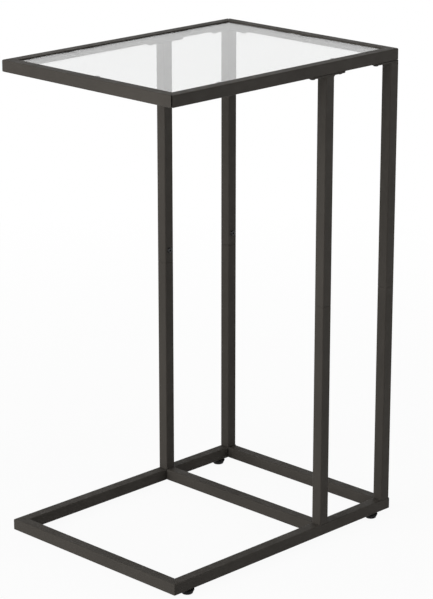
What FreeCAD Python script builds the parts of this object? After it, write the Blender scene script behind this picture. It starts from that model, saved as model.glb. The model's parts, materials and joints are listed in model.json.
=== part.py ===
import FreeCAD, Part
import math
import os

# C-shaped side table: a square-tube top frame with an inset glass pane stands on two pairs of
# uprights at one end of a square-tube base, so that the base slides under a seat.
# Millimetres. X runs from the open end (-X) to the spine (+X), Y from the front (-Y) to the
# back (+Y), Z is up. The origin is on the floor, in the middle of the table's box.

# Overall size
table_length = 400.0
table_width = 300.0
table_height = 630.0
upright_gap = 106.0

# Square steel tube of the whole frame
tube_side = 15.0
tube_wall = 1.2
tube_corner = 1.5
bore_corner_share = 0.2

# Glass pane and what carries it
glass_thickness = 5.0
glass_recess = 1.5
glass_margin = 1.0
glass_corner = 3.0
glass_bevel = 0.6
tab_length = 24.0
tab_reach = 12.0
tab_thickness = 2.0
tab_corner = 2.0
tab_place_shares = (-0.25, 0.25)
bumper_diameter = 9.0
bumper_thickness = 1.5
bumper_round = 0.5

# Flange plates between the uprights and the top rails
plate_thickness = 2.0
inner_screw_reach = 24.5
corner_screw_reach = 28.0

# Sleeves that join the two halves of an upright
sleeve_length = 80.0
sleeve_wall = 2.0
sleeve_fit = 0.15
joint_screw_rise = 17.0

# Screws of the flanges and of the split uprights
screw_diameter = 4.0
screw_head_diameter = 7.6
screw_head_height = 2.2
flange_screw_length = 8.0
joint_screw_length = 6.0
nut_wall = 1.0
nut_bulge = 1.0
nut_bulge_height = 2.0
nut_length = 7.5

# Bolts from inside the base rails up into the uprights, put in through holes beneath
bolt_diameter = 6.0
bolt_head_diameter = 10.5
bolt_head_height = 3.3
bolt_grip = 14.0
access_clearance = 0.5
block_height = 16.0
block_fit = 0.15

# Shape of a dome-headed screw
head_flat_share = 0.45
head_rim_share = 0.2
head_dome_share = 0.74
socket_share = 0.38
socket_depth_share = 0.55
tip_share = 0.15
hexagon_sides = 6

# Fits
hole_clearance = 0.25
thread_clearance = 0.05
running_clearance = 0.05
cut_overrun = 1.0
straight_share = 0.001

# End caps of the base's long rails
cap_flange = 1.5
cap_fit = 0.1
prong_length = 9.0
prong_thickness_share = 0.8
prong_height_share = 0.5

# Levelling feet
foot_inset = 29.0
foot_top_diameter = 18.0
foot_bottom_diameter = 14.5
foot_pad_height = 6.0
foot_round = 1.5
foot_rim = 1.2
foot_gap = 0.2
pocket_floor = 2.0
stud_diameter = 6.0
stud_flange_diameter = 9.0
stud_flange_height = 2.0
stud_reach = 12.0
insert_wall = 1.4
insert_flange_width = 1.2
insert_flange_height = 0.8
insert_bulge_clearance = 0.8
insert_bulge_height = 2.5
insert_length = 9.0

# Levels above the floor
base_bottom = foot_pad_height + foot_gap + insert_flange_height
base_top = base_bottom + tube_side
bolt_seat = base_top - tube_wall
top_bottom = table_height - tube_side
plate_bottom = top_bottom - plate_thickness
seam = (base_top + plate_bottom) / 2
screw_height = seam + joint_screw_rise
glass_bottom = table_height - glass_recess - glass_thickness
tab_top = glass_bottom - bumper_thickness

# Places along X and Y
open_end = -(table_length + cap_flange) / 2
spine_end = open_end + table_length
top_middle = (open_end + spine_end) / 2
rail_row = (table_width - tube_side) / 2
half_width = table_width / 2
outer_post = spine_end - tube_side / 2
inner_post = outer_post - upright_gap - tube_side
open_foot = open_end + foot_inset
spine_foot = spine_end + cap_flange - foot_inset
tube_bore = tube_side - 2 * tube_wall

# The front and back sides, with the sign of Y on each
sides = {"front": -1, "back": 1}
posts = {"inner": inner_post, "outer": outer_post}
foot_places = {"open": open_foot, "spine": spine_foot}

ORIGIN = FreeCAD.Vector(0, 0, 0)
X_AXIS = FreeCAD.Vector(1, 0, 0)
Y_AXIS = FreeCAD.Vector(0, 1, 0)
Z_AXIS = FreeCAD.Vector(0, 0, 1)


def placed(shape, x, y, z):
    """The shape, moved by x, y, z."""
    moved = shape.copy()
    moved.translate(FreeCAD.Vector(x, y, z))
    return moved


def turned(shape, axis, angle):
    """The shape, turned about an axis through the origin."""
    copy = shape.copy()
    copy.rotate(ORIGIN, axis, angle)
    return copy


def edges_along(shape, axis):
    """The straight edges of a shape that run along an axis."""
    found = []
    for edge in shape.Edges:
        start, end = edge.Vertexes[0].Point, edge.Vertexes[-1].Point
        if (end - start).cross(axis).Length < edge.Length * straight_share:
            found.append(edge)
    return found


def prism(points, bottom, top):
    """A prism over a closed outline of (x, y) points, between two heights."""
    corners = [FreeCAD.Vector(x, y, bottom) for x, y in points]
    outline = Part.makePolygon(corners + corners[:1])
    return Part.Face(outline).extrude(Z_AXIS * (top - bottom))


def revolved(edges):
    """The solid swept by a closed profile in the XZ plane about Z."""
    face = Part.Face(Part.Wire(edges))
    return face.revolve(ORIGIN, Z_AXIS, 360)


def profile_lines(points):
    """The straight edges of a closed profile through (radius, height) points."""
    corners = [FreeCAD.Vector(radius, 0, height) for radius, height in points]
    return [Part.makeLine(a, b) for a, b in zip(corners, corners[1:] + corners[:1])]


def rod(radius, bottom, top, x=0, y=0):
    """A round rod along Z."""
    return Part.makeCylinder(radius, top - bottom, FreeCAD.Vector(x, y, bottom))


def square_bar(length, side, corner):
    """A square bar along X from the origin, with rounded long edges."""
    bar = Part.makeBox(length, side, side, FreeCAD.Vector(0, -side / 2, -side / 2))
    return bar.makeFillet(corner, edges_along(bar, X_AXIS))


def square_tube(length, side, wall, corner):
    """A hollow square tube along X from the origin."""
    hollow = square_bar(length + 2 * cut_overrun, side - 2 * wall, corner * bore_corner_share)
    return square_bar(length, side, corner).cut(placed(hollow, -cut_overrun, 0, 0))


def rail(length, start_mitred, end_mitred):
    """A frame tube along X, mitred towards +Y at the ends that turn a corner."""
    near = tube_side / 2 + cut_overrun
    inward = tube_side + cut_overrun
    outline = [
        (-cut_overrun * start_mitred, -near),
        (length + cut_overrun * end_mitred, -near),
        (length - inward * end_mitred, near),
        (inward * start_mitred, near),
    ]
    tube = square_tube(length, tube_side, tube_wall, tube_corner)
    return tube.common(prism(outline, -near, near))


def upright_tube(bottom, top, side, wall, corner):
    """A tube along Z between two heights, on the Z axis."""
    tube = turned(square_tube(top - bottom, side, wall, corner), Y_AXIS, -90)
    return placed(tube, 0, 0, bottom)


def dome_screw(diameter, length, head_diameter, head_height):
    """A dome-headed screw with a hexagon socket: shank up from the origin, head below it."""
    radius = diameter / 2
    rim = head_diameter / 2
    flat = rim * head_flat_share
    rim_height = head_height * head_rim_share
    tip = radius * tip_share
    dome_radius = flat + (rim - flat) * head_dome_share
    dome_height = rim_height + (head_height - rim_height) * head_dome_share
    lines = profile_lines([
        (0, -head_height), (flat, -head_height), (rim, -rim_height), (rim, 0), (radius, 0),
        (radius, length - tip), (radius - tip, length), (0, length),
    ])
    dome = Part.Arc(
        FreeCAD.Vector(flat, 0, -head_height),
        FreeCAD.Vector(dome_radius, 0, -dome_height),
        FreeCAD.Vector(rim, 0, -rim_height),
    ).toShape()
    screw = revolved(lines[:1] + [dome] + lines[2:])
    corner = rim * socket_share
    angles = [2 * math.pi * step / hexagon_sides for step in range(hexagon_sides)]
    hexagon = [(corner * math.cos(angle), corner * math.sin(angle)) for angle in angles]
    socket = prism(hexagon, -head_height - cut_overrun, -head_height * (1 - socket_depth_share))
    return screw.cut(socket)


def save(name, solids):
    """Writes one piece, or a group of like pieces, under its name."""
    shape = solids[0] if len(solids) == 1 else Part.makeCompound(solids)
    shape.exportStep("parts/" + name + ".step")


def flange_screw_places():
    """Where the flange screws go up through the plates: (x, y) under the top rails."""
    places = []
    for sign in sides.values():
        row = sign * rail_row
        places.append((inner_post - inner_screw_reach, row))
        places.append((inner_post + inner_screw_reach, row))
        places.append((outer_post - corner_screw_reach, row))
        places.append((outer_post, row - sign * corner_screw_reach))
    return places


def post_places():
    """The middle of each upright: (name, x, y, sign of Y)."""
    return [
        (pair + "_" + side, x, sign * rail_row, sign)
        for pair, x in posts.items()
        for side, sign in sides.items()
    ]


def inward_turn(sign):
    """The turn about Z that points a piece made for the back side at the table's middle line."""
    return 90 - 90 * sign


def foot_positions():
    """The middle of each foot: (name, x, y)."""
    return [
        (end + "_" + side, x, sign * rail_row)
        for end, x in foot_places.items()
        for side, sign in sides.items()
    ]


def make_top_frame():
    """Four mitred tubes, with holes for the rivet nuts of the flange screws."""
    height = table_height - tube_side / 2
    long_rail = rail(table_length, True, True)
    short_rail = rail(table_width, True, True)
    rails = {
        "top_rail_front": placed(long_rail, open_end, -rail_row, height),
        "top_rail_back": placed(turned(long_rail, Z_AXIS, 180), spine_end, rail_row, height),
        "top_rail_open_end": placed(
            turned(short_rail, Z_AXIS, -90), open_end + tube_side / 2, half_width, height),
        "top_rail_spine_end": placed(
            turned(short_rail, Z_AXIS, 90), outer_post, -half_width, height),
    }
    nut_radius = screw_diameter / 2 + nut_wall
    holes = Part.makeCompound([
        rod(nut_radius, top_bottom - cut_overrun, top_bottom + tube_wall + cut_overrun, x, y)
        for x, y in flange_screw_places()
    ])
    for name, tube in rails.items():
        save(name, [tube.cut(holes)])


def make_glass():
    """The pane, with rounded corners and bevelled edges, a little below the rails' tops."""
    length = table_length - 2 * (tube_side + glass_margin)
    width = table_width - 2 * (tube_side + glass_margin)
    pane = Part.makeBox(length, width, glass_thickness)
    pane = pane.makeFillet(glass_corner, edges_along(pane, Z_AXIS))
    rims = [edge for edge in pane.Edges if edge.BoundBox.ZLength < glass_bevel]
    pane = pane.makeChamfer(glass_bevel, rims)
    save("glass_pane", [placed(pane, top_middle - length / 2, -width / 2, glass_bottom)])


def tab_positions():
    """Each glass tab: (name, x and y on the rail's inner face, turn that points it inwards)."""
    inner_row = half_width - tube_side
    found = []
    for side, sign in sides.items():
        for number, share in enumerate(tab_place_shares, 1):
            name = side + "_" + str(number)
            found.append((name, top_middle + share * table_length, sign * inner_row, -90 * sign))
    found.append(("open_end", open_end + tube_side, 0, 0))
    found.append(("spine_end", spine_end - tube_side, 0, 180))
    return found


def make_glass_supports():
    """Flat tabs on the rails' inner faces, each with a soft bumper under the glass."""
    tab = Part.makeBox(tab_reach, tab_length, tab_thickness, FreeCAD.Vector(0, -tab_length / 2, 0))
    free_corners = [edge for edge in edges_along(tab, Z_AXIS) if edge.BoundBox.XMin > 0]
    tab = tab.makeFillet(tab_corner, free_corners)
    bumper = rod(bumper_diameter / 2, 0, bumper_thickness)
    rims = [edge for edge in bumper.Edges if edge.BoundBox.ZLength < bumper_round]
    bumper = placed(bumper.makeFillet(bumper_round, rims), tab_reach / 2, 0, tab_thickness)
    for name, x, y, angle in tab_positions():
        level = tab_top - tab_thickness
        save("glass_tab_" + name, [placed(turned(tab, Z_AXIS, angle), x, y, level)])
        save("glass_bumper_" + name, [placed(turned(bumper, Z_AXIS, angle), x, y, level)])


def plate_arm(reach):
    """One arm of a flange plate along X, with a round end about its screw."""
    half = tube_side / 2
    bar = Part.makeBox(reach, tube_side, plate_thickness, FreeCAD.Vector(0, -half, 0))
    return bar.fuse(rod(half, 0, plate_thickness, reach))


def make_flange_plates():
    """A straight plate on each inner upright, and an L-shaped one on each outer upright."""
    hole_radius = screw_diameter / 2 + hole_clearance
    holes = Part.makeCompound([
        rod(hole_radius, plate_bottom - cut_overrun, top_bottom + cut_overrun, x, y)
        for x, y in flange_screw_places()
    ])
    corner_box = Part.makeBox(tube_side, tube_side, plate_thickness)
    corner = placed(corner_box, -tube_side / 2, -tube_side / 2, 0)
    for side, sign in sides.items():
        right_arm = plate_arm(inner_screw_reach)
        straight = right_arm.fuse(turned(right_arm, Z_AXIS, 180)).removeSplitter()
        straight = placed(straight, inner_post, sign * rail_row, plate_bottom)
        save("flange_plate_inner_" + side, [straight.cut(holes)])
        long_arm = turned(plate_arm(corner_screw_reach), Z_AXIS, 180)
        short_arm = turned(plate_arm(corner_screw_reach), Z_AXIS, -90 * sign)
        bent = corner.fuse([long_arm, short_arm]).removeSplitter()
        outside = [
            edge for edge in edges_along(bent, Z_AXIS)
            if edge.BoundBox.XMin > 0 and edge.BoundBox.Center.y * sign > 0
        ]
        bent = bent.makeFillet(tube_corner, outside)
        bent = placed(bent, outer_post, sign * rail_row, plate_bottom)
        save("flange_plate_outer_" + side, [bent.cut(holes)])


def make_uprights():
    """Each upright: a lower and an upper tube over a sleeve, with a screw hole above the split."""
    lower = upright_tube(base_top, seam, tube_side, tube_wall, tube_corner)
    upper = upright_tube(seam, plate_bottom, tube_side, tube_wall, tube_corner)
    sleeve_side = tube_bore - 2 * sleeve_fit
    sleeve = upright_tube(seam - sleeve_length / 2, seam + sleeve_length / 2, sleeve_side, sleeve_wall,
                          tube_corner * bore_corner_share)
    clear_hole = turned(rod(screw_diameter / 2 + hole_clearance, 0, tube_side), X_AXIS, 90)
    thread_hole = turned(rod(screw_diameter / 2 + thread_clearance, 0, tube_side), X_AXIS, 90)
    for name, x, y, sign in post_places():
        facing = turned(placed(clear_hole, 0, 0, screw_height), Z_AXIS, inward_turn(sign))
        threaded = turned(placed(thread_hole, 0, 0, screw_height), Z_AXIS, inward_turn(sign))
        save("lower_upright_" + name, [placed(lower, x, y, 0)])
        save("upper_upright_" + name, [placed(upper.cut(facing), x, y, 0)])
        save("joint_sleeve_" + name, [placed(sleeve.cut(threaded), x, y, 0)])


def make_base():
    """Five tubes: two long rails mitred at the open end, and three short ones."""
    height = base_bottom + tube_side / 2
    between = table_width - 2 * tube_side
    front = placed(rail(table_length, True, False), open_end, -rail_row, height)
    back_rail = turned(rail(table_length, False, True), Z_AXIS, 180)
    back = placed(back_rail, spine_end, rail_row, height)
    end_rail = turned(rail(table_width, True, True), Z_AXIS, -90)
    cross = turned(rail(between, False, False), Z_AXIS, 90)
    below, inner_face = base_bottom - cut_overrun, base_bottom + tube_wall + cut_overrun
    bolt_hole = bolt_diameter / 2 + hole_clearance
    access_hole = bolt_head_diameter / 2 + access_clearance
    insert_hole = stud_diameter / 2 + insert_wall
    holes = [rod(insert_hole, below, inner_face, x, y) for name, x, y in foot_positions()]
    for name, x, y, sign in post_places():
        holes.append(rod(access_hole, below, inner_face, x, y))
        holes.append(rod(bolt_hole, bolt_seat - cut_overrun, base_top + cut_overrun, x, y))
    cuts = Part.makeCompound(holes)
    save("base_rail_front", [front.cut(cuts)])
    save("base_rail_back", [back.cut(cuts)])
    save("base_rail_open_end", [placed(end_rail, open_end + tube_side / 2, half_width, height)])
    save("base_rail_cross", [placed(cross, inner_post, -between / 2, height)])
    save("base_rail_spine_end", [placed(cross, outer_post, -between / 2, height)])


def make_end_caps():
    """A cap in the spine end of each long base rail, with a prong on each side of the bolt's head."""
    plug_depth = (tube_side - bolt_head_diameter) / 2 - access_clearance
    plug_side = tube_bore - 2 * cap_fit
    plug = square_bar(plug_depth, plug_side, tube_corner * bore_corner_share)
    flange = square_bar(cap_flange, tube_side, tube_corner)
    thickness = (plug_side - bolt_head_diameter) / 2 * prong_thickness_share
    height = plug_side * prong_height_share
    prong = Part.makeBox(prong_length, thickness, height)
    near = placed(prong, -prong_length, -plug_side / 2, -height / 2)
    far = placed(prong, -prong_length, plug_side / 2 - thickness, -height / 2)
    cap = flange.fuse([placed(plug, -plug_depth, 0, 0), near, far]).removeSplitter()
    for side, sign in sides.items():
        save("end_cap_" + side, [placed(cap, spine_end, sign * rail_row, base_bottom + tube_side / 2)])


def make_fasteners():
    """Flange screws and their rivet nuts, joint screws, base bolts and their nut blocks."""
    flange_screw = dome_screw(screw_diameter, flange_screw_length, screw_head_diameter, screw_head_height)
    joint_screw = dome_screw(screw_diameter, joint_screw_length, screw_head_diameter, screw_head_height)
    bolt = dome_screw(bolt_diameter, tube_wall + bolt_grip, bolt_head_diameter, bolt_head_height)
    bore = screw_diameter / 2 + thread_clearance
    body = screw_diameter / 2 + nut_wall
    bulge = body + nut_bulge
    rivet_nut = revolved(profile_lines([
        (bore, 0), (body, 0), (body, tube_wall), (bulge, tube_wall),
        (bulge, tube_wall + nut_bulge_height), (body, tube_wall + nut_bulge_height),
        (body, nut_length), (bore, nut_length),
    ]))
    block_side = tube_bore - 2 * block_fit
    block = turned(square_bar(block_height, block_side, tube_corner * bore_corner_share), Y_AXIS, -90)
    block = block.cut(rod(bolt_diameter / 2 + thread_clearance, -cut_overrun, block_height + cut_overrun))
    sideways = turned(joint_screw, X_AXIS, -90)
    places = post_places()
    save("flange_screws", [placed(flange_screw, x, y, plate_bottom) for x, y in flange_screw_places()])
    save("rivet_nuts", [placed(rivet_nut, x, y, top_bottom) for x, y in flange_screw_places()])
    save("joint_screws", [
        placed(turned(sideways, Z_AXIS, inward_turn(sign)), x, y - sign * tube_side / 2, screw_height)
        for name, x, y, sign in places
    ])
    save("base_bolts", [placed(bolt, x, y, bolt_seat) for name, x, y, sign in places])
    save("nut_blocks", [placed(block, x, y, base_top) for name, x, y, sign in places])


def make_feet():
    """Each levelling foot: a pad that turns on a stud, which runs in an insert in the base rail."""
    top, bottom = foot_top_diameter / 2, foot_bottom_diameter / 2
    flange_low = pocket_floor + running_clearance
    flange_high = flange_low + stud_flange_height
    pocket_top = flange_high + running_clearance
    pocket = stud_flange_diameter / 2 + running_clearance
    stud, flange = stud_diameter / 2, stud_flange_diameter / 2
    neck = stud + running_clearance
    tip = stud * tip_share
    lines = profile_lines([
        (0, 0), (bottom - foot_round, 0), (bottom, foot_round), (top, foot_pad_height - foot_rim),
        (top, foot_pad_height), (neck, foot_pad_height), (neck, pocket_top),
        (pocket, pocket_top), (pocket, pocket_floor), (0, pocket_floor),
    ])
    bend = foot_round * (1 - math.sqrt(1 / 2))
    rounding = Part.Arc(
        FreeCAD.Vector(bottom - foot_round, 0, 0),
        FreeCAD.Vector(bottom - bend, 0, bend),
        FreeCAD.Vector(bottom, 0, foot_round),
    ).toShape()
    pad = revolved(lines[:1] + [rounding] + lines[2:])
    stud_top = foot_pad_height + stud_reach
    stud_solid = revolved(profile_lines([
        (0, flange_low), (flange, flange_low), (flange, flange_high), (stud, flange_high),
        (stud, stud_top - tip), (stud - tip, stud_top), (0, stud_top),
    ]))
    body = stud + insert_wall
    rim = body + insert_flange_width
    bulge = tube_bore / 2 - insert_bulge_clearance
    insert = revolved(profile_lines([
        (neck, -insert_flange_height), (rim, -insert_flange_height), (rim, 0), (body, 0),
        (body, tube_wall), (bulge, tube_wall), (bulge, tube_wall + insert_bulge_height),
        (body, tube_wall + insert_bulge_height), (body, insert_length), (neck, insert_length),
    ]))
    places = foot_positions()
    for name, x, y in places:
        save("foot_pad_" + name, [placed(pad, x, y, 0)])
        save("foot_stud_" + name, [placed(stud_solid, x, y, 0)])
    save("foot_inserts", [placed(insert, x, y, base_bottom) for name, x, y in places])


os.makedirs("parts", exist_ok=True)
make_top_frame()
make_glass()
make_glass_supports()
make_flange_plates()
make_uprights()
make_base()
make_end_caps()
make_fasteners()
make_feet()
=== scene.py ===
import json
import math

import bmesh
import bpy
from mathutils import Matrix, Vector


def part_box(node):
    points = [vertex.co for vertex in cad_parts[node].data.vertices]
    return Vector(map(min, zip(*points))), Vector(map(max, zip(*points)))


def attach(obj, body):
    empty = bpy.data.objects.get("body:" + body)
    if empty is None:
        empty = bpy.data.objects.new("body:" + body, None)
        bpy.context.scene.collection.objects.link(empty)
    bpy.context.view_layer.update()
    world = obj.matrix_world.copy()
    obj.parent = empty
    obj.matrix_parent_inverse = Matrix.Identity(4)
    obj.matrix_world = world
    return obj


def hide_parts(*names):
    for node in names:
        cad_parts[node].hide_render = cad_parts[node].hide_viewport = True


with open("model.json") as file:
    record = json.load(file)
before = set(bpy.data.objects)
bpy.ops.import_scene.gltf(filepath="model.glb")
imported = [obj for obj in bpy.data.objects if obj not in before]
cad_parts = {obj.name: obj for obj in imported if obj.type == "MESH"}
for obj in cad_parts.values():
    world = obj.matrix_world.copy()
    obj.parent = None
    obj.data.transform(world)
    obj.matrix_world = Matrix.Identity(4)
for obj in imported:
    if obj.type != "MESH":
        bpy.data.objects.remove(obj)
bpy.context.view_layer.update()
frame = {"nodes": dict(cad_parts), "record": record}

bl_info = {
    "name": "C-shaped side table",
    "version": (1, 0, 0),
    "blender": (4, 5, 0),
    "location": "3D View > Sidebar > Side table",
    "description": "Coated tubes, glass, screws, welds and feet on the packed frame of a side table",
    "category": "Object",
}

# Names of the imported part's nodes and bodies
FRAME_BODY = "frame"
POSTS = ("inner_front", "inner_back", "outer_front", "outer_back")
FEET = ("open_front", "open_back", "spine_front", "spine_back")
TABS = ("front_1", "front_2", "back_1", "back_2", "open_end", "spine_end")
CAPS = ("front", "back")
SHOWN_STEEL = ["nut_blocks", "rivet_nuts", "foot_inserts"]
SHOWN_STEEL += ["joint_sleeve_" + post for post in POSTS]

# The finished pane, which the lights spare
PANE = "glass_pane_polished"

RIGHT = Vector((1, 0, 0))
BACK = Vector((0, 1, 0))
UP = Vector((0, 0, 1))

# Each rail: its node, the way it runs, the way its mitres turn, and which ends are mitred
TOP_RAILS = (
    ("top_rail_front", RIGHT, BACK, (True, True)),
    ("top_rail_back", -RIGHT, -BACK, (True, True)),
    ("top_rail_open_end", -BACK, RIGHT, (True, True)),
    ("top_rail_spine_end", BACK, -RIGHT, (True, True)),
)
BASE_RAILS = (
    ("base_rail_front", RIGHT, BACK, (True, False)),
    ("base_rail_back", -RIGHT, -BACK, (False, True)),
    ("base_rail_open_end", -BACK, RIGHT, (True, True)),
    ("base_rail_cross", BACK, -RIGHT, (False, False)),
    ("base_rail_spine_end", BACK, -RIGHT, (False, False)),
)
TAB_INWARD = {
    "front_1": BACK, "front_2": BACK, "back_1": -BACK, "back_2": -BACK,
    "open_end": RIGHT, "spine_end": -RIGHT,
}

# Fineness of the meshes
CORNER_STEPS = 6
ROUND_STEPS = 3
END_STEPS = 24
DOME_STEPS = 8
LATHE_STEPS = 48
PAD_STEPS = 2 * LATHE_STEPS
DROP_SEGMENTS = 16
DROP_RINGS = 8
SHARP_ANGLE = math.radians(38)
SAME_POINT = 1e-7

# Parts of a turn
QUARTER_TURN = math.pi / 2
SIXTH_TURN = math.pi / 3

# Steps to a turn of a thread, and how steep its flanks and how wide its flats are
THREAD_STEPS = 8
THREAD_FLANK = 1.3
THREAD_FLAT = 0.15

# How many running clearances a stud's flange has above and below it in its foot
FLANGE_ROOM = 3

# A screw's head, as shares of its diameter across and of its height up
HEAD_FLAT = 0.225
HEAD_EDGE = 0.08
RIM_LEVEL = 0.2
SOCKET_CORNER = 0.19
SOCKET_LEVEL = 0.45

# The mouth and the drilled cone of a screw's socket, as shares of the socket
SOCKET_MOUTH = 1.1
SOCKET_CONE = 0.3

# A screw's tip, as shares of its shank's diameter
TIP_LENGTH = 0.1
TIP_RADIUS = 0.4

# Rings of an end cap's crown, as shares of the cap's width, and the largest corner on a ring, as a
# share of the ring's width
CROWN_RINGS = (0.7, 0.4, 0.1)
CROWN_CORNER = 1 / 8

# Least and most scale of the drops in a weld bead
DROP_SCALE = (0.93, 1.05)

# Seeds of what chance turns or scales
BUMPER_SEED = 1
PLATE_WELD_SEED = 3
TAB_WELD_SEED = 5
SCREW_SEEDS = {"flange_screws": 11, "joint_screws": 12, "base_bolts": 13}

# Numbers of the sockets that a Random Value node has for plain numbers
RANDOM_LEAST = 2
RANDOM_MOST = 3
RANDOM_DRAWN = 1

# The attribute that holds the way of each copy of a part
WAY = "way"

# Noise in the finishes: scale and detail for colour and for gloss, and detail alone for the grain
COLOUR_NOISE = (9.0, 4.0)
GLOSS_NOISE = (60.0, 3.0)
CLEAR_COLOUR_NOISE = (5.0, 2.0)
CLEAR_GLOSS_NOISE = (35.0, 3.0)
GRAIN_DETAIL = 2.0

# The middle range that noise mostly keeps to, and the swing of the clear finishes' tints
NOISE_RANGE = (0.3, 0.7)
CLEAR_SWING = 0.012

# The floor's half side, and how white grows on it: between two distances, from one share to another
FLOOR_REACH = 12.0
FLOOR_FADE = (0.35, 1.6, 0.94, 1.0)

# The way to the brightest of the walls that gloss shows, and how they brighten towards it
BRIGHT_WAY = (0.3, 0.95, 0.0)
WALL_FADE = (-0.3, 0.4, 0.4, 1.0)

# Each light's place, its width and height, and whether gloss shows it. All are turned to one point
LIT_POINT = Vector((0, 0, 0.3))
LIGHTS = {
    "key": ((-2.7, 0.4, 1.15), (2.2, 2.2), True),
    "fill": ((0.7, -1.4, 0.5), (1.3, 0.2), True),
    "rear": ((2.4, 2.0, 0.35), (1.2, 1.2), False),
    "top": ((0, 0, 1.6), (0.9, 0.9), True),
}

# The photograph's camera, in metres, radians and millimetres
CAMERA_PLACE = (-2.0446, -2.0430, 1.1987)
CAMERA_YAW = 0.7792
CAMERA_PITCH = 0.2983
CAMERA_LENS = 141.51
SENSOR_WIDTH = 36.0


def length(name, description, default):
    """A length that a user can change, in metres."""
    return bpy.props.FloatProperty(
        name=name, description=description, default=default, min=0.0, precision=5, unit="LENGTH")


def share(name, description, default, most=1.0):
    """A plain number that a user can change."""
    return bpy.props.FloatProperty(
        name=name, description=description, default=default, min=0.0, max=most, precision=3)


def colour(name, description, default):
    """A colour that a user can change."""
    return bpy.props.FloatVectorProperty(
        name=name, description=description, default=default, size=3, min=0.0, max=1.0, subtype="COLOR")


class SideTableSizes(bpy.types.PropertyGroup):
    """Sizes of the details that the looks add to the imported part."""

    tube_wall: length("Tube wall", "Wall of the square tubes", 0.0012)
    tube_corner: length("Tube corner", "Radius along the tubes' edges", 0.0015)
    bore_corner: length("Bore corner", "Radius along the edges inside the tubes", 0.0003)
    top_mitre: length("Top mitre", "Rounding of the tubes where the top frame's mitres meet", 0.0005)
    base_mitre: length("Base mitre", "Rounding of the tubes where the base's mitres meet", 0.00025)
    mitre_gap: length("Mitre gap", "Set-back of the top frame's tubes at their mitres' outer edges", 0.0011)
    mitre_gap_depth: length("Mitre gap depth", "How far in from the outer edge a mitre's gap closes", 0.005)
    split_round: length("Split edge", "Rounding of the tube ends where an upright is split", 0.0006)
    butt_round: length("Butt edge", "Rounding of the tube ends that butt against another tube", 0.0002)
    plate_round: length("Plate edge", "Rounding of the plates, the tabs and the feet's rims", 0.00035)
    tab_corner: length("Tab corner", "Corner radius of the glass tabs", 0.002)
    glass_corner: length("Glass corner", "Corner radius of the pane", 0.003)
    glass_arris: length("Glass arris", "Polished rounding of the pane's edges", 0.0006)
    bead_radius: length("Weld bead", "Radius of the weld beads under the flange plates", 0.0021)
    bead_step: length("Weld ripple", "Step from one ripple of a weld bead to the next", 0.0011)
    tack_radius: length("Tack bead", "Radius of the short beads under the glass tabs", 0.0011)
    tack_length: length("Tack length", "Length of the short beads under the glass tabs", 0.008)
    screw_head: length("Screw head", "Diameter of the small screws' heads", 0.0076)
    screw_head_height: length("Screw head height", "Height of the small screws' heads", 0.0022)
    screw_shank: length("Screw shank", "Diameter of the small screws", 0.004)
    flange_screw_reach: length("Flange screw", "Length of the flange screws' shanks", 0.008)
    joint_screw_reach: length("Joint screw", "Length of the shanks at the split uprights", 0.006)
    joint_screw_rise: length("Joint screw rise", "Height of the joint screws above the split", 0.017)
    bolt_head: length("Bolt head", "Diameter of the base bolts' heads", 0.0105)
    bolt_head_height: length("Bolt head height", "Height of the base bolts' heads", 0.0033)
    bolt_shank: length("Bolt shank", "Diameter of the base bolts", 0.006)
    bolt_reach: length("Bolt length", "Length of the base bolts' shanks", 0.0152)
    access_clearance: length("Access hole", "Room round a bolt head in the hole beneath it", 0.0005)
    insert_hole: length("Insert hole", "Diameter of the holes for the feet's inserts", 0.0088)
    hole_margin: length("Hole overrun", "How far a drill goes past the wall that it cuts", 0.001)
    bumper_edge: length("Bumper edge", "Rounding of the clear pads under the glass", 0.0005)
    cap_flange: length("Cap flange", "Thickness of the end caps outside the tube", 0.0015)
    cap_plug: length("Cap plug", "Depth of the end caps' plugs inside the tube", 0.00175)
    cap_fit: length("Cap fit", "Gap between an end cap's plug and the tube", 0.0001)
    prong_width: length("Prong width", "Thickness of the end caps' prongs", 0.00076)
    cap_edge: length("Cap edge", "Bevel of the end caps where they meet the tube", 0.0001)
    cap_round: length("Cap round", "Rounding of the end caps round their faces", 0.0005)
    cap_crown: length("Cap crown", "Rise of the end caps' faces to the middle", 0.0002)
    foot_bottom: length("Foot bottom", "Diameter of the feet at the floor", 0.0145)
    foot_round: length("Foot edge", "Rounding of the feet at the floor", 0.0015)
    foot_rim: length("Foot rim", "Height of the straight rim at the top of the feet", 0.0012)
    sole: length("Sole", "Diameter of the hollow under the feet", 0.009)
    sole_depth: length("Sole depth", "Depth of the hollow under the feet", 0.0003)
    pocket_floor: length("Pocket floor", "Thickness of the feet under their studs", 0.002)
    running_clearance: length("Running clearance", "Gap between a stud and its foot", 0.00005)
    stud_diameter: length("Stud", "Diameter of the feet's studs", 0.006)
    stud_flange: length("Stud flange", "Height of the studs' flanges", 0.002)
    stud_flange_width: length("Stud flange width", "Diameter of the studs' flanges", 0.009)
    thread_pitch: length("Thread pitch", "Pitch of the feet's studs", 0.001)
    thread_depth: length("Thread depth", "Depth of the studs' threads", 0.0005)
    rib_depth: length("Grip rib", "Depth of the grip ribs round the feet", 0.00018)


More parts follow.
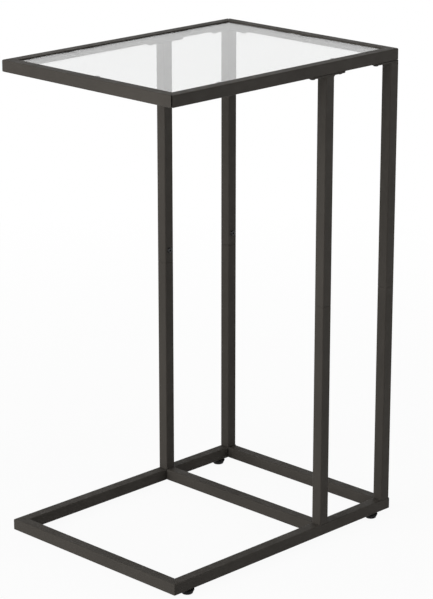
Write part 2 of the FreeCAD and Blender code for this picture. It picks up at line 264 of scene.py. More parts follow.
class SideTableFinishes(bpy.types.PropertyGroup):
    """Colours and light that a user would change."""

    coat: colour("Powder coat", "Colour of the coated steel", (0.039, 0.035, 0.0303))
    screw: colour("Screws", "Colour of the blackened screws", (0.005, 0.005, 0.0053))
    zinc: colour("Zinc", "Colour of the plated steel in the tubes and the feet", (0.56, 0.56, 0.54))
    glass: colour("Glass", "Tint of the pane", (0.825, 0.832, 0.829))
    bumper: colour("Bumpers", "Colour of the clear pads under the glass", (0.86, 0.87, 0.86))
    cap: colour("End caps", "Colour of the end caps", (0.024, 0.0225, 0.0205))
    foot: colour("Feet", "Colour of the feet", (0.004, 0.004, 0.0042))
    floor: colour("Floor", "Colour of the floor", (0.6, 0.6, 0.6))
    ambient: share("Ambient", "Light from all round", 0.18, 10.0)
    key: share("Key light", "Power of the large soft light at the open end, in watts", 111.0, 1000.0)
    fill: share("Fill light", "Power of the low light at the front, in watts", 8.6, 1000.0)
    rear: share("Rear light", "Power of the soft light behind the uprights, in watts", 40.0, 1000.0)
    top: share("Top light", "Power of the soft light above the glass, in watts", 4.5, 1000.0)


# Meshes

def rounded_square(side, radius):
    """The points of a square with round corners, anticlockwise."""
    reach = side / 2 - radius
    points = []
    for quarter in range(4):
        turn = quarter * QUARTER_TURN
        middle = Matrix.Rotation(turn, 2) @ Vector((reach, reach))
        for step in range(CORNER_STEPS + 1):
            angle = turn + QUARTER_TURN * step / CORNER_STEPS
            points.append((middle.x + radius * math.cos(angle), middle.y + radius * math.sin(angle)))
    return points


def rounding(radius):
    """The steps of a quarter round: (set back from the side, set back from the end)."""
    angles = [QUARTER_TURN * step / ROUND_STEPS for step in range(ROUND_STEPS + 1)]
    return [(radius * (1 - math.sin(angle)), radius * (1 - math.cos(angle))) for angle in angles]


def lofted(rings, cyclic=False):
    """A skin through rings of equal counts of points. Unless cyclic, flat faces close its ends.

    Points that fall together are merged."""
    skin = bmesh.new()
    loops = [[skin.verts.new(point) for point in ring] for ring in rings]
    following = loops[1:] + loops[:1] if cyclic else loops[1:]
    for near, far in zip(loops, following):
        for index, vertex in enumerate(near):
            after = (index + 1) % len(near)
            skin.faces.new((vertex, near[after], far[after], far[index]))
    if not cyclic:
        skin.faces.new(loops[0])
        skin.faces.new(loops[-1])
    bmesh.ops.remove_doubles(skin, verts=skin.verts, dist=SAME_POINT)
    bmesh.ops.recalc_face_normals(skin, faces=skin.faces)
    return skin


def axes(origin, along, across):
    """The matrix that puts a piece's X along one way and its Y along another, at a point."""
    columns = [along, across, along.cross(across), origin]
    return Matrix([[column[row] for column in columns] for row in range(3)] + [[0, 0, 0, 1]])


def linked_object(name, data):
    """A new object in the scene."""
    made = bpy.data.objects.new(name, data)
    bpy.context.scene.collection.objects.link(made)
    return made


def bare(name, skin):
    """A new object from a skin."""
    mesh = bpy.data.meshes.new(name)
    skin.to_mesh(mesh)
    skin.free()
    return linked_object(name, mesh)


def discard(made):
    """Removes an object that only helped to make another."""
    mesh = made.data
    bpy.data.objects.remove(made)
    bpy.data.meshes.remove(mesh)


def drill(made, holes):
    """Cuts upright round holes in an object: each a (middle, radius, bottom, top)."""
    rods = []
    for middle, radius, bottom, top in holes:
        rods.append(bare("rod", lofted([turned_ring(radius, level, middle) for level in (bottom, top)])))
        cut = made.modifiers.new("Hole", "BOOLEAN")
        cut.object = rods[-1]
    plain(made)
    for rod in rods:
        discard(rod)


def piece(name, skin, material, matrix=Matrix.Identity(4), holes=()):
    """A finished object: the skin in its place, smooth where it bends and flat where it is flat."""
    bmesh.ops.transform(skin, matrix=matrix, verts=skin.verts)
    made = bare(name, skin)
    if holes:
        drill(made, holes)
    skin = bmesh.new()
    skin.from_mesh(made.data)
    for edge in skin.edges:
        edge.smooth = len(edge.link_faces) == 2 and edge.calc_face_angle() < SHARP_ANGLE
    for face in skin.faces:
        face.smooth = True
    skin.to_mesh(made.data)
    skin.free()
    made.data.materials.append(material)
    even = made.modifiers.new("Even faces", "WEIGHTED_NORMAL")
    even.keep_sharp = True
    return plain(made)


def plain(made):
    """The object with its modifiers' result as its own mesh."""
    bpy.context.view_layer.update()
    graph = bpy.context.evaluated_depsgraph_get()
    mesh = bpy.data.meshes.new_from_object(made.evaluated_get(graph))
    made.modifiers.clear()
    old = made.data
    made.data = mesh
    bpy.data.meshes.remove(old)
    mesh.name = made.name
    return made


def dress(made, body, slot, *nodes):
    """Puts a finished piece on its body, in place of the nodes that it stands for."""
    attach(made, body)
    if nodes:
        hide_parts(*nodes)


def coated(node, skin, matrix, holes=()):
    """Puts a skin with the frame's coat in a node's place."""
    made = piece(node + "_coated", skin, powder_coat(), matrix, holes)
    dress(made, FRAME_BODY, "frame_paint", node)


def square_tube(reach, side, sizes, mitred, rounds, gap):
    """A hollow square tube along X. Its ends are cut square, or mitred towards Y, with soft edges.

    A mitre's gap is widest at the outer edge and closes a little way in."""
    deep = sizes.mitre_gap_depth
    quarter = CORNER_STEPS + 1

    def ring(at_end, inset, depth, corner):
        """A ring round the tube, with a point on the two flat faces where a mitre's gap closes."""
        points = rounded_square(side - 2 * inset, corner)
        for place, level in ((3 * quarter, inset - side / 2), (quarter, side / 2 - inset)):
            points.insert(place, (deep - side / 2, level))
        cuts = []
        for y, z in points:
            inner = y + side / 2
            cuts.append(depth + (inner + gap * max(0, 1 - inner / deep) if mitred[at_end] else 0))
        return [(reach - cut if at_end else cut, y, z) for cut, (y, z) in zip(cuts, points)]

    rings = [ring(0, inset, depth, sizes.tube_corner - inset) for inset, depth in rounding(rounds[0])]
    far = [ring(1, inset, depth, sizes.tube_corner - inset) for inset, depth in rounding(rounds[1])]
    rings += far[::-1]
    rings += [ring(at_end, sizes.tube_wall, 0, sizes.bore_corner) for at_end in (1, 0)]
    return lofted(rings, cyclic=True)


def coated_tube(node, along, across, mitred, rounds, holes=(), gap=0.0):
    """Makes the visible tube of a node, in its box."""
    sizes = bpy.context.scene.side_table_sizes
    low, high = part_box(node)
    span = high - low
    reach = abs(span.dot(along))
    skin = square_tube(reach, min(span), sizes, mitred, rounds, gap)
    matrix = axes((low + high) / 2 - along * (reach / 2), along, across)
    coated(node, skin, matrix, holes)


def arc(middle, radius, start, turn, steps):
    """Points of an arc, each with the way out of it."""
    angles = [start + turn * step / steps for step in range(steps + 1)]
    ways = [Vector((math.cos(angle), math.sin(angle))) for angle in angles]
    return [(middle + radius * way, way) for way in ways]


def rounded_rectangle(width, depth, radii):
    """The outline of a rectangle about the origin, with a radius for each corner, anticlockwise."""
    outline = []
    signs = ((1, 1), (-1, 1), (-1, -1), (1, -1))
    for quarter, ((x, y), radius) in enumerate(zip(signs, radii)):
        middle = Vector((x * (width / 2 - radius), y * (depth / 2 - radius)))
        outline += arc(middle, radius, quarter * QUARTER_TURN, QUARTER_TURN, CORNER_STEPS)
    return outline


def straight_arm(reach, width):
    """The outline of a flat bar about the origin with full round ends."""
    half = width / 2
    near = arc(Vector((reach, 0)), half, -QUARTER_TURN, math.pi, END_STEPS)
    far = arc(Vector((-reach, 0)), half, QUARTER_TURN, math.pi, END_STEPS)
    return near + far


def bent_arm(reach, width, corner):
    """The outline of an L of two bars with full round ends, towards -X and +Y from the origin."""
    half = width / 2
    outside = arc(Vector((half - corner, corner - half)), corner, -QUARTER_TURN, QUARTER_TURN, CORNER_STEPS)
    upper = arc(Vector((0, reach)), half, 0, math.pi, END_STEPS)
    inside = [(Vector((-half, half)), Vector((-1, 1)))]
    left = arc(Vector((-reach, 0)), half, QUARTER_TURN, math.pi, END_STEPS)
    return outside + upper + inside + left


def soft_edged(ring, thickness, edge):
    """A solid from the XY plane up with rounded edges. The ring function takes an inset and a height."""
    steps = rounding(edge)
    rings = [ring(inset, depth) for inset, depth in steps]
    rings += [ring(inset, thickness - depth) for inset, depth in steps[::-1]]
    return lofted(rings)


def soft_plate(outline, thickness, edge):
    """A flat plate over an outline, with its edges rounded."""
    def ring(inset, height):
        return [(*(point - way * inset), height) for point, way in outline]

    return soft_edged(ring, thickness, edge)


def soft_disc(radius, thickness, edge):
    """A flat disc with its edges rounded."""
    def ring(inset, height):
        return turned_ring(radius - inset, height)

    return soft_edged(ring, thickness, edge)


def turned_ring(radius, height, middle=(0, 0), count=LATHE_STEPS):
    """A level circle of points."""
    angles = [2 * math.pi * step / count for step in range(count)]
    x, y = middle[:2]
    return [(x + radius * math.cos(angle), y + radius * math.sin(angle), height) for angle in angles]


# Nodes

def wire(tree, node, inputs):
    """Gives each of a node's inputs, by name or number, a value or a link from another node's socket."""
    for place, value in inputs.items():
        if isinstance(value, bpy.types.NodeSocket):
            tree.links.new(value, node.inputs[place])
        else:
            node.inputs[place].default_value = value


def added(tree, kind, inputs=None, **settings):
    """A new node of a kind, with its settings and its inputs."""
    node = tree.nodes.new(kind)
    for name, value in settings.items():
        setattr(node, name, value)
    wire(tree, node, inputs or {})
    return node


def spread(tree, factor, from_low, from_high, low, high):
    """A factor's range, spread between two values."""
    inputs = {"Value": factor, "From Min": from_low, "From Max": from_high, "To Min": low, "To Max": high}
    return added(tree, "ShaderNodeMapRange", inputs).outputs["Result"]


# Materials

def finishes():
    """The colours and lights that a user can change."""
    return bpy.context.scene.side_table_finishes


def shader_tree(name):
    """A new material with one Principled shader: (material, tree, shader)."""
    material = bpy.data.materials.new(name)
    material.use_nodes = True
    tree = material.node_tree
    return material, tree, tree.nodes["Principled BSDF"]


def placed_noise(tree, scale, detail, stretch=(1, 1, 1)):
    """Noise on the object's own coordinates, finer as the scale grows."""
    place = added(tree, "ShaderNodeTexCoord").outputs["Object"]
    mapping = added(tree, "ShaderNodeMapping", {"Vector": place, "Scale": stretch})
    inputs = {"Vector": mapping.outputs["Vector"], "Scale": scale, "Detail": detail}
    return added(tree, "ShaderNodeTexNoise", inputs).outputs["Fac"]


def drifting(tree, factor, tint, swing):
    """A colour that drifts a little to either side of a tint."""
    ramp = added(tree, "ShaderNodeValToRGB", {"Fac": factor})
    for element, place, level in zip(ramp.color_ramp.elements, NOISE_RANGE, (1 - swing, 1 + swing)):
        element.position = place
        element.color = (*(channel * level for channel in tint), 1)
    return ramp.outputs["Color"]


def relief(tree, factor, strength, depth):
    """The normal of a surface with a factor's relief on it."""
    inputs = {"Height": factor, "Strength": strength, "Distance": depth}
    return added(tree, "ShaderNodeBump", inputs).outputs["Normal"]


def surfaced(name, tint, swing, rough, grain, strength, depth, shine, metal=0.0, stretch=(1, 1, 1)):
    """A finish with drifting colour, uneven gloss and a fine grain. Kept once made."""
    if name in bpy.data.materials:
        return bpy.data.materials[name]
    material, tree, shader = shader_tree(name)
    wire(tree, shader, {
        "Metallic": metal,
        "Specular IOR Level": shine,
        "Base Color": drifting(tree, placed_noise(tree, *COLOUR_NOISE), tint, swing),
        "Roughness": spread(tree, placed_noise(tree, *GLOSS_NOISE, stretch), *NOISE_RANGE, *rough),
        "Normal": relief(tree, placed_noise(tree, grain, GRAIN_DETAIL, stretch), strength, depth),
    })
    return material


def powder_coat():
    """Satin powder coat: a fine orange-peel relief over a dark warm grey."""
    return surfaced(
        "powder_coat", finishes().coat, swing=0.09, rough=(0.52, 0.66), grain=1300.0,
        strength=0.8, depth=0.0002, shine=0.08)


def blackened_steel():
    """Black oxide on the screws."""
    return surfaced(
        "blackened_steel", finishes().screw, swing=0.12, rough=(0.1, 0.18), grain=1500.0,
        strength=0.1, depth=0.00005, shine=0.3)


def zinc_plate():
    """Bright zinc on the steel inside the tubes and on the studs, drawn out along its height."""
    return surfaced(
        "zinc_plate", finishes().zinc, swing=0.06, rough=(0.24, 0.38), grain=700.0,
        strength=0.12, depth=0.00008, shine=0.5, metal=1.0, stretch=(1, 1, 0.15))


def cap_plastic():
    """Fine-grained moulded plastic of the end caps."""
    return surfaced(
        "moulded_cap", finishes().cap, swing=0.06, rough=(0.5, 0.62), grain=1300.0,
        strength=0.2, depth=0.0001, shine=0.4)


def foot_plastic():
    """Matte moulded plastic of the feet."""
    return surfaced(
        "moulded_foot", finishes().foot, swing=0.08, rough=(0.55, 0.7), grain=1400.0,
        strength=0.2, depth=0.0001, shine=0.12)


def clear_finish(name, tint, index, rough):
    """A see-through finish with faint unevenness in its tint and polish. Kept once made."""
    if name in bpy.data.materials:
        return bpy.data.materials[name]
    material, tree, shader = shader_tree(name)
    wire(tree, shader, {
        "Transmission Weight": 1.0,
        "IOR": index,
        "Base Color": drifting(tree, placed_noise(tree, *CLEAR_COLOUR_NOISE), tint, CLEAR_SWING),
        "Roughness": spread(tree, placed_noise(tree, *CLEAR_GLOSS_NOISE), *NOISE_RANGE, *rough),
    })
    return material


def clear_glass():
    """The pane's glass."""
    return clear_finish("polished_glass", finishes().glass, index=1.5, rough=(0.0, 0.012))


def clear_rubber():
    """The soft clear pads under the glass."""
    return clear_finish("clear_rubber", finishes().bumper, index=1.42, rough=(0.12, 0.22))


# Geometry node trees

def node_tree(name, sockets):
    """A tree with named inputs: (tree, the sockets of its inputs)."""
    tree = bpy.data.node_groups.new(name, "GeometryNodeTree")
    tree.interface.new_socket("Geometry", in_out="INPUT", socket_type="NodeSocketGeometry")
    for socket, kind in sockets.items():
        tree.interface.new_socket(socket, in_out="INPUT", socket_type="NodeSocket" + kind)
    tree.interface.new_socket("Geometry", in_out="OUTPUT", socket_type="NodeSocketGeometry")
    return tree, added(tree, "NodeGroupInput").outputs


def ended(tree, given, instances):
    """Ends a tree: instances made real and given their material."""
    real = added(tree, "GeometryNodeRealizeInstances", {"Geometry": instances})
    inputs = {"Geometry": real.outputs["Geometry"], "Material": given["Material"]}
    coat = added(tree, "GeometryNodeSetMaterial", inputs)
    added(tree, "NodeGroupOutput", {"Geometry": coat.outputs["Geometry"]})


def copies_tree():
    """Copies of one part on points, each along its point's way and turned by chance. Kept once made."""
    name = "copies_on_points"
    if name in bpy.data.node_groups:
        return bpy.data.node_groups[name]
    sockets = {"Part": "Object", "Turn Seed": "Int", "Most Turn": "Float", "Material": "Material"}
    tree, given = node_tree(name, sockets)
    part = added(tree, "GeometryNodeObjectInfo", {"Object": given["Part"]})
    way = added(tree, "GeometryNodeInputNamedAttribute", {"Name": WAY}, data_type="FLOAT_VECTOR")
    aim = added(tree, "FunctionNodeAlignRotationToVector", {"Vector": way.outputs["Attribute"]}, axis="Z")
    inputs = {RANDOM_MOST: given["Most Turn"], "Seed": given["Turn Seed"]}
    chance = added(tree, "FunctionNodeRandomValue", inputs, data_type="FLOAT")
    inputs = {"Axis": UP, "Angle": chance.outputs[RANDOM_DRAWN]}
    spin = added(tree, "FunctionNodeAxisAngleToRotation", inputs)
    inputs = {"Rotation": aim.outputs["Rotation"], "Rotate By": spin.outputs["Rotation"]}
    both = added(tree, "FunctionNodeRotateRotation", inputs, rotation_space="LOCAL")
    copies = added(tree, "GeometryNodeInstanceOnPoints", {
        "Points": given["Geometry"],
        "Instance": part.outputs["Geometry"],
        "Rotation": both.outputs["Rotation"],
    })
    ended(tree, given, copies.outputs["Instances"])
    return tree


def beads_tree():
    """Weld beads: overlapping drops of uneven size in a row along each edge. Kept once made."""
    name = "beads_on_edges"
    if name in bpy.data.node_groups:
        return bpy.data.node_groups[name]
    sockets = {"Bead Radius": "Float", "Ripple Step": "Float", "Seed": "Int", "Material": "Material"}
    tree, given = node_tree(name, sockets)
    path = added(tree, "GeometryNodeMeshToCurve", {"Mesh": given["Geometry"]})
    inputs = {"Curve": path.outputs["Curve"], "Length": given["Ripple Step"]}
    row = added(tree, "GeometryNodeCurveToPoints", inputs, mode="LENGTH")
    inputs = {"Radius": given["Bead Radius"], "Segments": DROP_SEGMENTS, "Rings": DROP_RINGS}
    drop = added(tree, "GeometryNodeMeshUVSphere", inputs)
    smooth = added(tree, "GeometryNodeSetShadeSmooth", {"Geometry": drop.outputs["Mesh"]})
    least, most = DROP_SCALE
    inputs = {RANDOM_LEAST: least, RANDOM_MOST: most, "Seed": given["Seed"]}
    chance = added(tree, "FunctionNodeRandomValue", inputs, data_type="FLOAT")
    copies = added(tree, "GeometryNodeInstanceOnPoints", {
        "Points": row.outputs["Points"],
        "Instance": smooth.outputs["Geometry"],
        "Rotation": row.outputs["Rotation"],
        "Scale": chance.outputs[RANDOM_DRAWN],
    })
    ended(tree, given, copies.outputs["Instances"])
    return tree


def grown(name, vertices, edges, tree, values, ways=()):
    """A plain mesh that a tree grows on points or edges. Its inputs go in before it is first evaluated."""
    mesh = bpy.data.meshes.new(name)
    mesh.from_pydata(vertices, edges, [])
    if ways:
        attribute = mesh.attributes.new(WAY, "FLOAT_VECTOR", "POINT")
        attribute.data.foreach_set("vector", [number for way in ways for number in way])
    made = linked_object(name, mesh)
    modifier = made.modifiers.new(tree.name, "NODES")
    modifier.node_group = tree
    for item in tree.interface.items_tree:
        if item.in_out == "INPUT" and item.name in values:
            modifier[item.identifier] = values[item.name]
    return plain(made)


def copied(name, part_skin, places, seed, most_turn, material):
    """One part on many places, each a (point, way), as one plain mesh."""
    part = piece(name + "_part", part_skin, material)
    values = {"Part": part, "Turn Seed": seed, "Most Turn": most_turn, "Material": material}
    points, ways = zip(*places)
    made = grown(name, points, [], copies_tree(), values, ways)
    discard(part)
    return made


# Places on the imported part

def tube_side():
    """The side of the square tube."""
    low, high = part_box("base_rail_cross")
    return high.z - low.z


def post_middle(post):
    """The middle of an upright's lower tube."""
    low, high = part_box("lower_upright_" + post)
    return (low + high) / 2


def foot_middle(foot):
    """The point on the floor under the middle of a foot."""
    joints = frame["record"]["behaviour"]["joints"]
    return next(joint["pos_m"] for joint in joints if joint["name"] == "foot_turn_" + foot)


def underside(node):
    """The middle of a node's underside."""
    low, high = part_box(node)
    middle = (low + high) / 2
    return Vector((middle.x, middle.y, low.z))


def tab_span(tab):
    """How far a glass tab reaches inward, and how wide it is along its rail."""
    low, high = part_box("glass_tab_" + tab)
    ahead = TAB_INWARD[tab]
    return abs((high - low).dot(ahead)), abs((high - low).dot(UP.cross(ahead)))


def inward(post):
    """The way from an upright to the table's middle line."""
    return BACK if post.endswith("front") else -BACK


# The table's pieces

class SIDETABLE_OT_top_frame(bpy.types.Operator):
    """Makes the four coated tubes of the top frame, with a fine line at each mitre."""

    bl_idname = "side_table.top_frame"
    bl_label = "Top frame"

    def execute(self, context):
        sizes = context.scene.side_table_sizes
        rounds = (sizes.top_mitre, sizes.top_mitre)
        for node, along, across, mitred in TOP_RAILS:
            coated_tube(node, along, across, mitred, rounds, gap=sizes.mitre_gap)
        return {"FINISHED"}


class SIDETABLE_OT_base_frame(bpy.types.Operator):
    """Makes the five coated tubes of the base."""

    bl_idname = "side_table.base_frame"
    bl_label = "Base frame"

    def execute(self, context):
        sizes = context.scene.side_table_sizes
        for node, along, across, mitred in BASE_RAILS:
            rounds = [sizes.base_mitre if cut else sizes.butt_round for cut in mitred]
            coated_tube(node, along, across, mitred, rounds, self.holes(node, sizes))
        return {"FINISHED"}

    def holes(self, node, sizes):
        """The holes in a long rail's underside: for the uprights' bolts and for the feet's inserts."""
        side = node.rsplit("_", 1)[1]
        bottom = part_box(node)[0].z
        below, above = bottom - sizes.hole_margin, bottom + sizes.tube_wall + sizes.hole_margin
        access = sizes.bolt_head / 2 + sizes.access_clearance
        found = [(post_middle(post), access, below, above) for post in POSTS if post.endswith(side)]
        room = sizes.insert_hole / 2
        found += [(foot_middle(foot), room, below, above) for foot in FEET if foot.endswith(side)]
        return found


class SIDETABLE_OT_uprights(bpy.types.Operator):
    """Makes the four split uprights, with soft edges that show where each is split."""

    bl_idname = "side_table.uprights"
    bl_label = "Uprights"

    def execute(self, context):
        sizes = context.scene.side_table_sizes
        for post in POSTS:
            square = (False, False)
            coated_tube("lower_upright_" + post, UP, RIGHT, square, (sizes.butt_round, sizes.split_round))
            coated_tube("upper_upright_" + post, UP, RIGHT, square, (sizes.split_round, sizes.butt_round))
        return {"FINISHED"}


class SIDETABLE_OT_flange_plates(bpy.types.Operator):
    """Makes the flange plates on the uprights: straight inner ones and bent outer ones."""

    bl_idname = "side_table.flange_plates"
    bl_label = "Flange plates"

    def execute(self, context):
        sizes = context.scene.side_table_sizes
        for post in POSTS:
            node = "flange_plate_" + post
            low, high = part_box(node)
            width = tube_side()
            if post.startswith("inner"):
                middle = (low + high) / 2
                outline = straight_arm((high.x - low.x - width) / 2, width)
                across = BACK
            else:
                middle = post_middle(post)
                outline = bent_arm(high.x - low.x - width, width, sizes.tube_corner)
                across = inward(post)
            skin = soft_plate(outline, high.z - low.z, sizes.plate_round)
            place = Matrix.Translation((middle.x, middle.y, low.z))
            mirror = Matrix.Diagonal((1, across.y, 1, 1))
            bmesh.ops.transform(skin, matrix=mirror, verts=skin.verts)
            bmesh.ops.recalc_face_normals(skin, faces=skin.faces)
            coated(node, skin, place)
        return {"FINISHED"}


class SIDETABLE_OT_glass_pane(bpy.types.Operator):
    """Makes the pane, with polished edges."""

    bl_idname = "side_table.glass_pane"
    bl_label = "Glass pane"

    def execute(self, context):
        sizes = context.scene.side_table_sizes
        low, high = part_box("glass_pane")
        span = high - low
        outline = rounded_rectangle(span.x, span.y, [sizes.glass_corner] * 4)
        skin = soft_plate(outline, span.z, sizes.glass_arris)
        made = piece(PANE, skin, clear_glass(), Matrix.Translation(underside("glass_pane")))
        dress(made, FRAME_BODY, "clear_glass", "glass_pane")
        return {"FINISHED"}


class SIDETABLE_OT_glass_supports(bpy.types.Operator):
    """Makes the tabs inside the top frame and the clear pads that the glass lies on."""

    bl_idname = "side_table.glass_supports"
    bl_label = "Glass supports"

    def execute(self, context):
        sizes = context.scene.side_table_sizes
        places = []
        for tab in TABS:
            node = "glass_tab_" + tab
            low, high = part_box(node)
            ahead = TAB_INWARD[tab]
            radii = (sizes.tab_corner, sizes.plate_round, sizes.plate_round, sizes.tab_corner)
            outline = rounded_rectangle(*tab_span(tab), radii)
            middle = underside(node)
            skin = soft_plate(outline, (high - low).z, sizes.plate_round)
            coated(node, skin, axes(middle, ahead, UP.cross(ahead)))
            places.append(((middle.x, middle.y, high.z), UP))
        low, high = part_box("glass_bumper_" + TABS[0])
        span = high - low
        bumper = soft_disc(max(span.x, span.y) / 2, span.z, sizes.bumper_edge)
        made = copied("glass_bumpers_clear", bumper, places, BUMPER_SEED, 0.0, clear_rubber())
        dress(made, FRAME_BODY, "clear_bumper", *("glass_bumper_" + tab for tab in TABS))
        return {"FINISHED"}


class SIDETABLE_OT_weld_beads(bpy.types.Operator):
    """Makes the weld beads where the uprights meet their plates, and under the glass tabs."""

    bl_idname = "side_table.weld_beads"
    bl_label = "Weld beads"

    def execute(self, context):
        sizes = context.scene.side_table_sizes
        step = sizes.bead_step
        self.beads("plate_welds", self.plate_lines(sizes), sizes.bead_radius, step, PLATE_WELD_SEED)
        self.beads("tab_welds", self.tab_lines(sizes), sizes.tack_radius, step, TAB_WELD_SEED)
        return {"FINISHED"}

    def plate_lines(self, sizes):
        """Lines on two faces of each upright, under its plate."""
        half = tube_side() / 2
        inside = half - sizes.bead_radius
        lines = []
        for post in POSTS:
            middle = post_middle(post)
            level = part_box("flange_plate_" + post)[0].z
            ways = (-RIGHT, RIGHT) if post.startswith("inner") else (-RIGHT, inward(post))
            for way in ways:
                side = UP.cross(way) * inside
                root = Vector((middle.x, middle.y, level)) + way * half
                lines.append((root - side, root + side))
        return lines

    def tab_lines(self, sizes):
        """Short lines from both corners of each glass tab, under its root."""
        lines = []
        for tab in TABS:
            reach, width = tab_span(tab)
            ahead = TAB_INWARD[tab]
            along = UP.cross(ahead)
            root = underside("glass_tab_" + tab) - ahead * (reach / 2)
            for way in (-along, along):
                lines.append((root + way * (width / 2), root + way * (width / 2 - sizes.tack_length)))
        return lines

    def beads(self, name, lines, radius, step, seed):
        """One mesh of beads along straight lines."""
        values = {"Bead Radius": radius, "Ripple Step": step, "Seed": seed, "Material": powder_coat()}
        vertices = [point for line in lines for point in line]
        edges = [(2 * number, 2 * number + 1) for number in range(len(lines))]
        dress(grown(name, vertices, edges, beads_tree(), values), FRAME_BODY, "frame_paint")


def hexagon(corner, level):
    """A level hexagon with as many points as a turned ring."""
    points = []
    for x, y, z in turned_ring(corner, level):
        angle = math.atan2(y, x) % SIXTH_TURN - SIXTH_TURN / 2
        shrink = math.cos(SIXTH_TURN / 2) / math.cos(angle)
        points.append((x * shrink, y * shrink, z))
    return points


def dome_screw(shank, reach, head, height):
    """A dome-headed screw with a hexagon socket: shank up from the origin, head below it."""
    rim, flat, edge = head / 2, head * HEAD_FLAT, height * HEAD_EDGE
    corner, floor = head * SOCKET_CORNER, -height * SOCKET_LEVEL
    rim_low = -height * RIM_LEVEL
    rings = [turned_ring(corner * SOCKET_CONE, floor + edge), hexagon(corner, floor)]
    rings += [hexagon(corner, -height + edge), hexagon(corner * SOCKET_MOUTH, -height)]
    for step in range(DOME_STEPS + 1):
        turn = QUARTER_TURN * step / DOME_STEPS
        radius = flat + (rim - flat) * math.sin(turn)
        rings.append(turned_ring(radius, rim_low - (height + rim_low) * math.cos(turn)))
    rings += [turned_ring(rim, -edge), turned_ring(rim - edge, 0), turned_ring(shank / 2, 0)]
    rings += [turned_ring(shank / 2, reach - shank * TIP_LENGTH), turned_ring(shank * TIP_RADIUS, reach)]
    return lofted(rings)


class SIDETABLE_OT_screws(bpy.types.Operator):
    """Makes the dome-headed screws of the flanges and the split uprights, and the base bolts."""

    bl_idname = "side_table.screws"
    bl_label = "Screws"

    def execute(self, context):
        sizes = context.scene.side_table_sizes
        small = (sizes.screw_head, sizes.screw_head_height)
        large = (sizes.bolt_head, sizes.bolt_head_height)
        flange = dome_screw(sizes.screw_shank, sizes.flange_screw_reach, *small)
        joint = dome_screw(sizes.screw_shank, sizes.joint_screw_reach, *small)
        bolt = dome_screw(sizes.bolt_shank, sizes.bolt_reach, *large)
        groups = (
            ("flange_screws", flange, self.flange_places()),
            ("joint_screws", joint, self.joint_places(sizes)),
            ("base_bolts", bolt, self.bolt_places(sizes)),
        )
        for node, screw, places in groups:
            seed = SCREW_SEEDS[node]
            made = copied(node + "_blackened", screw, places, seed, SIXTH_TURN, blackened_steel())
            dress(made, FRAME_BODY, "black_screw", node)
        return {"FINISHED"}

    def flange_places(self):
        """Two screws up into the top frame through each flange plate, at its arms' round ends."""
        half = tube_side() / 2
        places = []
        for post in POSTS:
            middle = post_middle(post)
            low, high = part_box("flange_plate_" + post)
            places.append(((low.x + half, middle.y, low.z), UP))
            if post.startswith("inner"):
                places.append(((high.x - half, middle.y, low.z), UP))
            else:
                far = (high.y - low.y) - 2 * half
                places.append(((middle.x, middle.y + inward(post).y * far, low.z), UP))
        return places

    def joint_places(self, sizes):
        """A screw into the inward face of each upright, above its split."""
        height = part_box("upper_upright_" + POSTS[0])[0].z + sizes.joint_screw_rise
        faces = [(post_middle(post) + inward(post) * (tube_side() / 2), post) for post in POSTS]
        return [((face.x, face.y, height), -inward(post)) for face, post in faces]

    def bolt_places(self, sizes):
        """A bolt up into each upright, with its head inside the base rail."""
        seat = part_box("base_rail_front")[1].z - sizes.tube_wall
        middles = [post_middle(post) for post in POSTS]
        return [((middle.x, middle.y, seat), UP) for middle in middles]


class SIDETABLE_OT_end_caps(bpy.types.Operator):
    """Makes the plastic caps in the spine ends of the base's long rails."""

    bl_idname = "side_table.end_caps"
    bl_label = "End caps"

    def execute(self, context):
        sizes = context.scene.side_table_sizes
        for side in CAPS:
            node = "end_cap_" + side
            low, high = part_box(node)
            skin = self.cap(high.x - low.x, high.z - low.z, sizes)
            middle = ((low.y + high.y) / 2, (low.z + high.z) / 2)
            place = Matrix.Translation((high.x - sizes.cap_flange, *middle))
            dress(piece(node + "_moulded", skin, cap_plastic(), place), FRAME_BODY, "cap_plastic", node)
        return {"FINISHED"}

    def cap(self, reach, width, sizes):
        """A cap that faces along X: a flange with a crowned face, a plug behind it and two prongs."""
        plug = width - 2 * (sizes.tube_wall + sizes.cap_fit)
        face = sizes.cap_flange - sizes.cap_crown
        soft = rounding(sizes.cap_round)[::-1]
        shape = [(plug, -sizes.cap_plug), (plug, 0), (width - sizes.cap_edge, 0), (width, sizes.cap_edge)]
        shape += [(width - 2 * inset, face - depth) for inset, depth in soft]
        shape += [(width * part, face + sizes.cap_crown * (1 - part * part)) for part in CROWN_RINGS]
        rings = []
        for side, x in shape:
            corner = min(sizes.tube_corner, side * CROWN_CORNER)
            rings.append([(x, y, z) for y, z in rounded_square(side, corner)])
        skin = lofted(rings)
        prong = reach - sizes.cap_flange - sizes.cap_plug
        span = Matrix.Diagonal((prong, sizes.prong_width, plug / 2, 1))
        for sign in (-1, 1):
            middle = Vector((-sizes.cap_plug - prong / 2, sign * (plug - sizes.prong_width) / 2, 0))
            bmesh.ops.create_cube(skin, size=1, matrix=Matrix.Translation(middle) @ span)
        return skin


